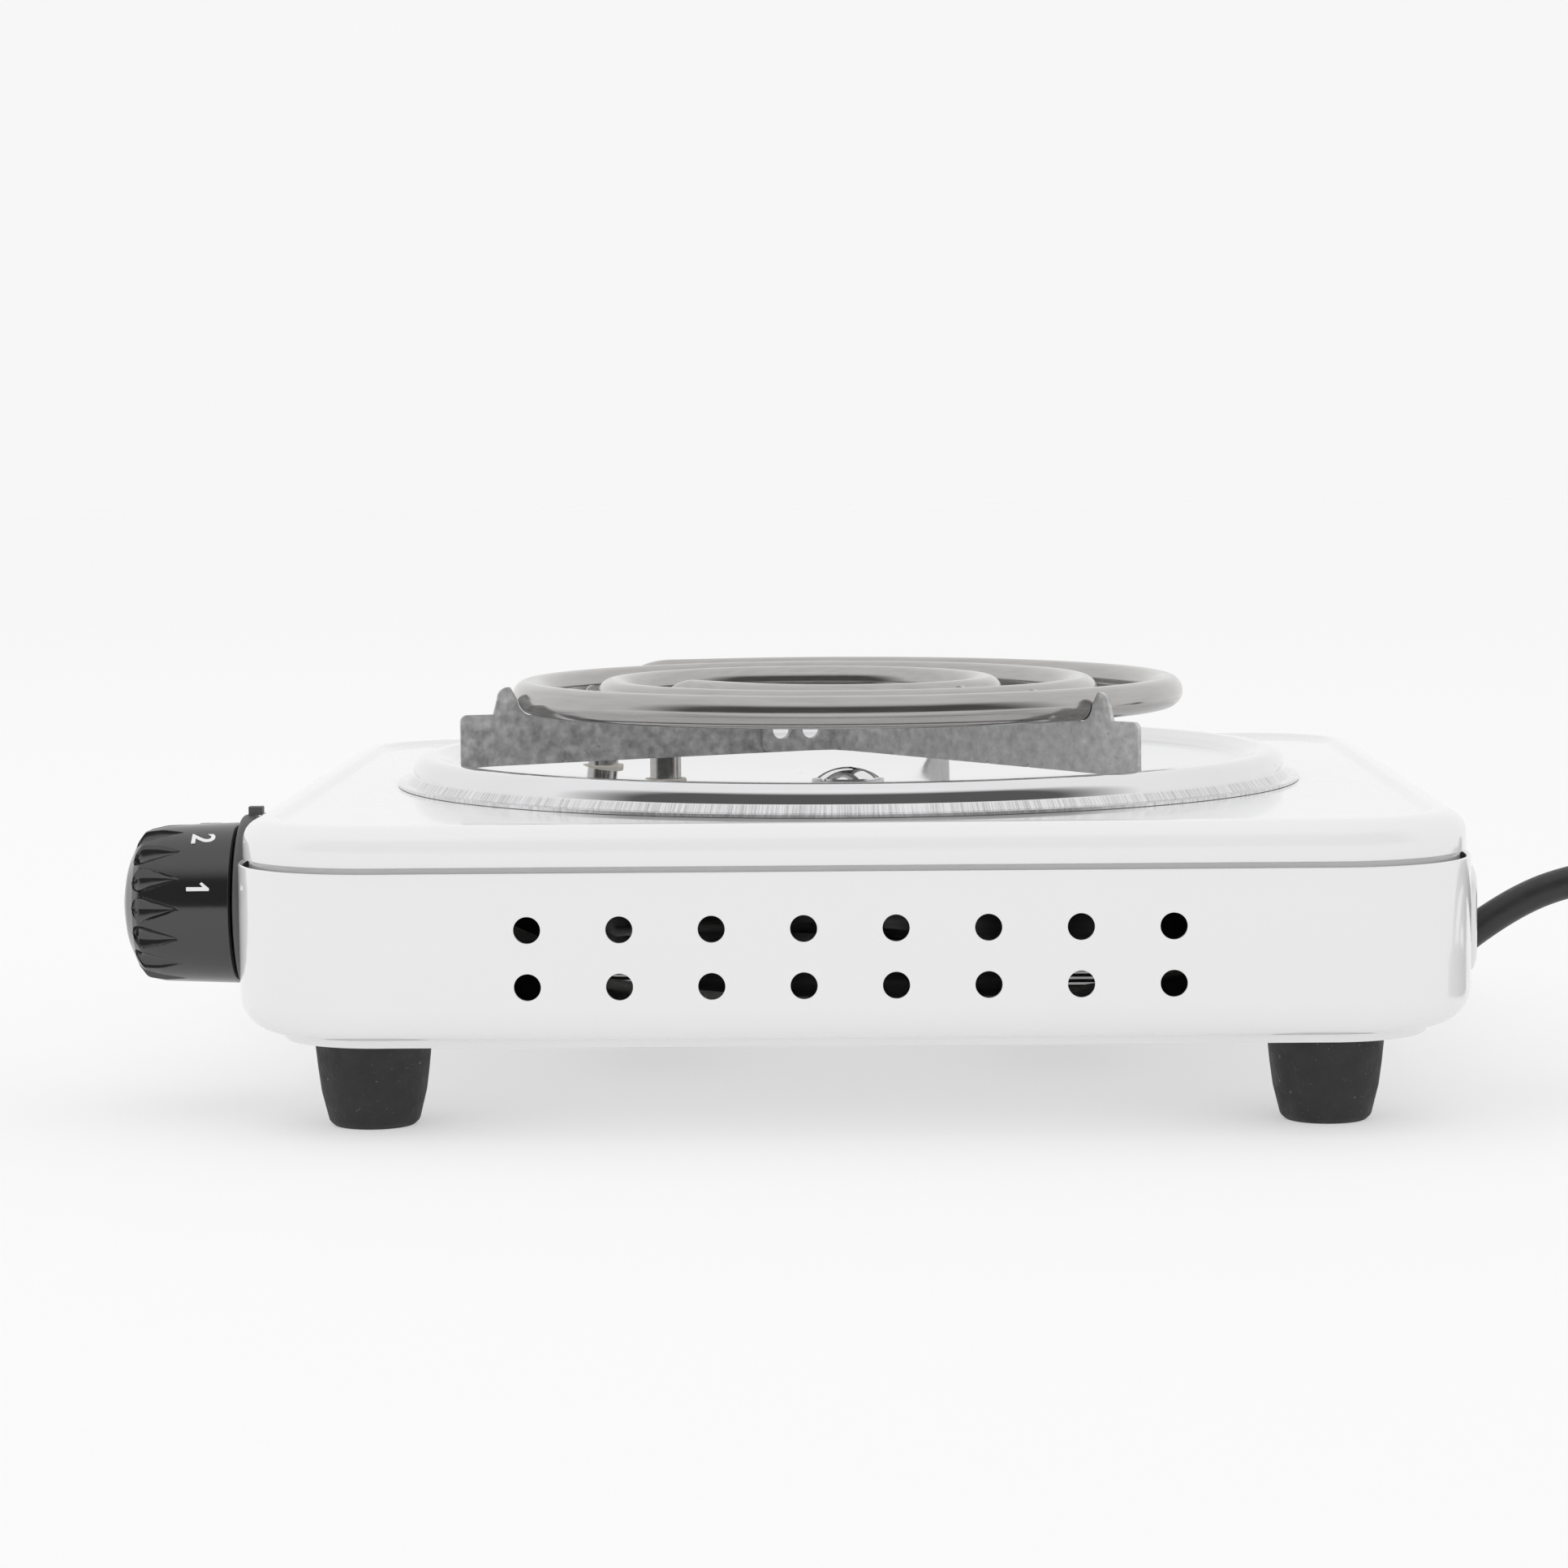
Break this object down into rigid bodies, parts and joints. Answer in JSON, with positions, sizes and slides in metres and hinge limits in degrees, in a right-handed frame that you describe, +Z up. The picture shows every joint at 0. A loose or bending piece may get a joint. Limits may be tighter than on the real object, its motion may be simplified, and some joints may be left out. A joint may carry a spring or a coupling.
{
  "type": "electric hot plate",
  "caption": "Table-top electric hot plate: square enamelled case, open spiral heating coil on strip arms over a polished drip pan, thermostat dial, rubber feet, mains lead with plug.",
  "frame": {"origin": "middle of the footprint of the appliance without its lead, at the undersides of the feet", "axes": "+Z up; the dial faces -Y, the lead leaves at +Y; +X is the right-hand side seen from the dial"},
  "size_m": [0.2336, 0.4219, 0.0795],
  "materials": {
    "white_enamel": "glossy white enamel",
    "zinc_steel": "bright zinc plate",
    "galvanised_strip": "dull galvanised strip",
    "foot_rubber": "matte black moulded rubber",
    "chromed_steel": "mirror chrome",
    "chromed_screw": "bright plated screw",
    "aluminised_shield": "satin aluminised sheet",
    "coil_steel": "satin steel tube",
    "ceramic": "unglazed ceramic",
    "brass_plated": "brass",
    "knob_black": "glossy black moulding",
    "bezel_black": "matte black moulding",
    "seal_black": "matte black moulding",
    "shaft_steel": "turned steel",
    "lens_red": "translucent red",
    "lamp_glass": "clear glass",
    "cord_jacket": "satin black jacket",
    "tie_wire": "black coated tie",
    "plug_black": "matte black moulding",
    "wire_brown": "brown insulation",
    "wire_blue": "blue insulation",
    "wire_green": "green and yellow insulation"
  },
  "bodies": {
    "housing": {"bezel_seal": "seal_black", "bimetal_strip": "brass_plated", "bracket_screws": "zinc_steel", "center_nut": "zinc_steel", "center_screw": "chromed_screw", "center_spacer": "zinc_steel", "center_washer": "zinc_steel", "coil_insulator_1": "ceramic", "coil_insulator_2": "ceramic", "coil_terminal_1": "brass_plated", "coil_terminal_2": "brass_plated", "cord_bushing": "seal_black", "cord_coil": "cord_jacket", "cord_lead": "cord_jacket", "cord_tail": "cord_jacket", "cord_tie": "tie_wire", "cover_post_front_left": "zinc_steel", "cover_post_front_right": "zinc_steel", "cover_post_rear_left": "zinc_steel", "cover_post_rear_right": "zinc_steel", "dial_bezel": "bezel_black", "drip_pan": "chromed_steel", "earth_nut": "zinc_steel", "earth_screw": "zinc_steel", "earth_tag": "zinc_steel", "earth_wire": "wire_green", "foot_front_left": "foot_rubber", "foot_front_right": "foot_rubber", "foot_rear_left": "foot_rubber", "foot_rear_right": "foot_rubber", "foot_screws": "zinc_steel", "foot_washers": "zinc_steel", "heat_shield": "aluminised_shield", "heating_coil_inner": "coil_steel", "heating_coil_middle": "coil_steel", "heating_coil_outer": "coil_steel", "lever_pivot": "zinc_steel", "live_wire": "wire_brown", "lower_case": "white_enamel", "neutral_wire": "wire_blue", "pan_bridge": "zinc_steel", "pilot_lamp": "lamp_glass", "pilot_lens": "lens_red", "plug_body": "plug_black", "plug_earth_clips": "brass_plated", "plug_pins": "brass_plated", "shaft_bush": "brass_plated", "support_arm_1": "galvanised_strip", "support_arm_2": "galvanised_strip", "support_arm_3": "galvanised_strip", "switched_wire": "wire_brown", "thermostat_base": "ceramic", "thermostat_bracket": "zinc_steel", "thermostat_terminals": "brass_plated", "top_cover": "white_enamel"},
    "dial": {"knob": "knob_black", "dial_shaft": "shaft_steel"},
    "contact": {"contact_lever": "brass_plated"}
  },
  "joints": [
    {"name": "dial_turn", "type": "hinge", "parent": "housing", "child": "dial", "pos_m": [0.066, -0.1088, 0.04], "axis": [0, -1, 0], "range_deg": [-91, 122]},
    {"name": "contact_swing", "type": "hinge", "parent": "housing", "child": "contact", "pos_m": [0.0564, -0.0907, 0.0472], "axis": [0, -1, 0], "range_deg": [-1.83, 1.36]}
  ],
  "couplings": [
    {"joint": "contact_swing", "follows": "dial_turn", "ratio": -0.015}
  ]
}
